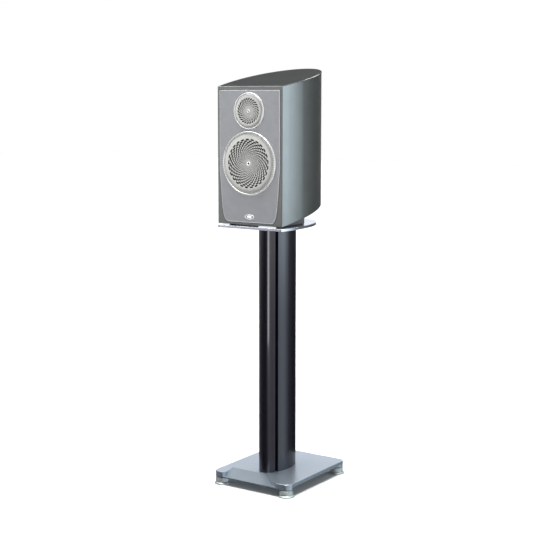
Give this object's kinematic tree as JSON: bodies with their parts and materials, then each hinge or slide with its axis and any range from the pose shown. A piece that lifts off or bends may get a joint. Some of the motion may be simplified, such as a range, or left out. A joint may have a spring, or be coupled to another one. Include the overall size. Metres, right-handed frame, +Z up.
{
  "type": "bookshelf speaker on stand",
  "caption": "Bookshelf loudspeaker with a curved lacquered cabinet and perforated driver covers, standing on its matching column stand with levelling feet.",
  "frame": {"origin": "middle of the footprint on the floor", "axes": "+Z up, the drivers face -Y, +X is to the right seen from the front"},
  "size_m": [0.2642, 0.315, 1.1748],
  "materials": {
    "cabinet_lacquer": "gloss metallic lacquer over board",
    "brace_board": "raw board",
    "felt": "loose felt",
    "fascia_satin": "satin metallic grey",
    "badge_white": "gloss",
    "trim_polished": "polished",
    "lens_grey": "satin metallic",
    "basket_alloy": "powder coated cast alloy",
    "black_rubber": "matte",
    "cone_sheet": "anodised sheet",
    "spider_cloth": "resin stiffened cloth",
    "coil_wire": "enamelled copper wire",
    "ferrite": "ceramic magnet",
    "plain_steel": "zinc plated",
    "screw_steel": "black oxide",
    "black_plastic": "fine satin texture",
    "gold_plate": "plated",
    "nut_metal": "plated knurled grip",
    "circuit_board": "solder mask",
    "capacitor_sleeve": "film sleeve",
    "rail_grey": "satin",
    "plate_silver": "satin silver",
    "column_black": "gloss dark coat",
    "foot_metal": "satin turned",
    "pad_metal": "satin turned"
  },
  "bodies": {
    "stand": {"base_plate": "plate_silver", "pillar_front": "column_black", "pillar_rear": "column_black", "column_bolts": "screw_steel", "top_plate": "plate_silver"},
    "speaker": {"badge": "badge_white", "binding_posts": "gold_plate", "bottom_panel": "cabinet_lacquer", "crossover_board": "circuit_board", "crossover_capacitors": "capacitor_sleeve", "crossover_inductors": "coil_wire", "damping_felt": "felt", "fascia_plate": "fascia_satin", "front_baffle": "cabinet_lacquer", "jumper_straps": "gold_plate", "port_tube": "black_plastic", "rail_pads": "black_rubber", "rear_spine_panel": "cabinet_lacquer", "shelf_brace": "brace_board", "side_panel_left": "cabinet_lacquer", "side_panel_right": "cabinet_lacquer", "support_rails": "rail_grey", "terminal_plate": "black_plastic", "terminal_screws": "screw_steel", "top_panel": "cabinet_lacquer", "tweeter_faceplate": "basket_alloy", "tweeter_lens": "lens_grey", "tweeter_magnet": "ferrite", "tweeter_pole_parts": "plain_steel", "tweeter_rear_chamber": "black_plastic", "tweeter_screws": "screw_steel", "tweeter_trim_ring": "trim_polished", "woofer_basket": "basket_alloy", "woofer_gasket": "black_rubber", "woofer_lens": "lens_grey", "woofer_magnet": "ferrite", "woofer_pole_plate": "plain_steel", "woofer_screws": "screw_steel", "woofer_trim_ring": "trim_polished", "woofer_yoke": "plain_steel"},
    "woofer_moving": {"woofer_cone": "cone_sheet", "woofer_dust_cap": "cone_sheet", "woofer_voice_coil": "coil_wire", "woofer_surround": "black_rubber", "woofer_spider": "spider_cloth"},
    "tweeter_moving": {"tweeter_dome": "cone_sheet", "tweeter_voice_coil": "coil_wire", "tweeter_surround": "spider_cloth"},
    "nut_1": {"post_nut_1": "nut_metal"},
    "nut_2": {"post_nut_2": "nut_metal"},
    "nut_3": {"post_nut_3": "nut_metal"},
    "nut_4": {"post_nut_4": "nut_metal"},
    "pad_1": {"foot_pad_1": "pad_metal"},
    "barrel_1": {"foot_barrel_1": "foot_metal"},
    "pad_2": {"foot_pad_2": "pad_metal"},
    "barrel_2": {"foot_barrel_2": "foot_metal"},
    "pad_3": {"foot_pad_3": "pad_metal"},
    "barrel_3": {"foot_barrel_3": "foot_metal"},
    "pad_4": {"foot_pad_4": "pad_metal"},
    "barrel_4": {"foot_barrel_4": "foot_metal"}
  },
  "joints": [
    {"name": "speaker_lift", "type": "slide", "parent": "stand", "child": "speaker", "axis": [0, 0, 1], "range_m": [0, 0.15]},
    {"name": "woofer_stroke", "type": "slide", "parent": "speaker", "child": "woofer_moving", "axis": [0, -1, 0], "range_m": [-0.005, 0.005], "stiffness_N_per_m": 1500, "deforming": ["woofer_surround", "woofer_spider"]},
    {"name": "tweeter_stroke", "type": "slide", "parent": "speaker", "child": "tweeter_moving", "axis": [0, -1, 0], "range_m": [-0.0004, 0.0004], "stiffness_N_per_m": 2000, "deforming": ["tweeter_surround"]},
    {"name": "nut_turn_1", "type": "hinge", "parent": "speaker", "child": "nut_1", "pos_m": [-0.016, 0.146, 0.88], "axis": [0, 1, 0], "range_deg": [0, 1080]},
    {"name": "nut_turn_2", "type": "hinge", "parent": "speaker", "child": "nut_2", "pos_m": [0.016, 0.146, 0.88], "axis": [0, 1, 0], "range_deg": [0, 1080]},
    {"name": "nut_turn_3", "type": "hinge", "parent": "speaker", "child": "nut_3", "pos_m": [-0.016, 0.146, 0.918], "axis": [0, 1, 0], "range_deg": [0, 1080]},
    {"name": "nut_turn_4", "type": "hinge", "parent": "speaker", "child": "nut_4", "pos_m": [0.016, 0.146, 0.918], "axis": [0, 1, 0], "range_deg": [0, 1080]},
    {"name": "foot_drop_1", "type": "slide", "parent": "stand", "child": "pad_1", "axis": [0, 0, -1], "range_m": [0, 0.008]},
    {"name": "foot_turn_1", "type": "hinge", "parent": "pad_1", "child": "barrel_1", "pos_m": [-0.10915, -0.13205, 0.013], "axis": [0, 0, 1], "range_deg": [0, 1900]},
    {"name": "foot_drop_2", "type": "slide", "parent": "stand", "child": "pad_2", "axis": [0, 0, -1], "range_m": [0, 0.008]},
    {"name": "foot_turn_2", "type": "hinge", "parent": "pad_2", "child": "barrel_2", "pos_m": [0.10915, -0.13205, 0.013], "axis": [0, 0, 1], "range_deg": [0, 1900]},
    {"name": "foot_drop_3", "type": "slide", "parent": "stand", "child": "pad_3", "axis": [0, 0, -1], "range_m": [0, 0.008]},
    {"name": "foot_turn_3", "type": "hinge", "parent": "pad_3", "child": "barrel_3", "pos_m": [-0.10915, 0.13205, 0.013], "axis": [0, 0, 1], "range_deg": [0, 1900]},
    {"name": "foot_drop_4", "type": "slide", "parent": "stand", "child": "pad_4", "axis": [0, 0, -1], "range_m": [0, 0.008]},
    {"name": "foot_turn_4", "type": "hinge", "parent": "pad_4", "child": "barrel_4", "pos_m": [0.10915, 0.13205, 0.013], "axis": [0, 0, 1], "range_deg": [0, 1900]}
  ],
  "couplings": [
    {"joint": "foot_drop_1", "follows": "foot_turn_1", "m_per_rad": 0.00023873},
    {"joint": "foot_drop_2", "follows": "foot_turn_2", "m_per_rad": 0.00023873},
    {"joint": "foot_drop_3", "follows": "foot_turn_3", "m_per_rad": 0.00023873},
    {"joint": "foot_drop_4", "follows": "foot_turn_4", "m_per_rad": 0.00023873}
  ]
}
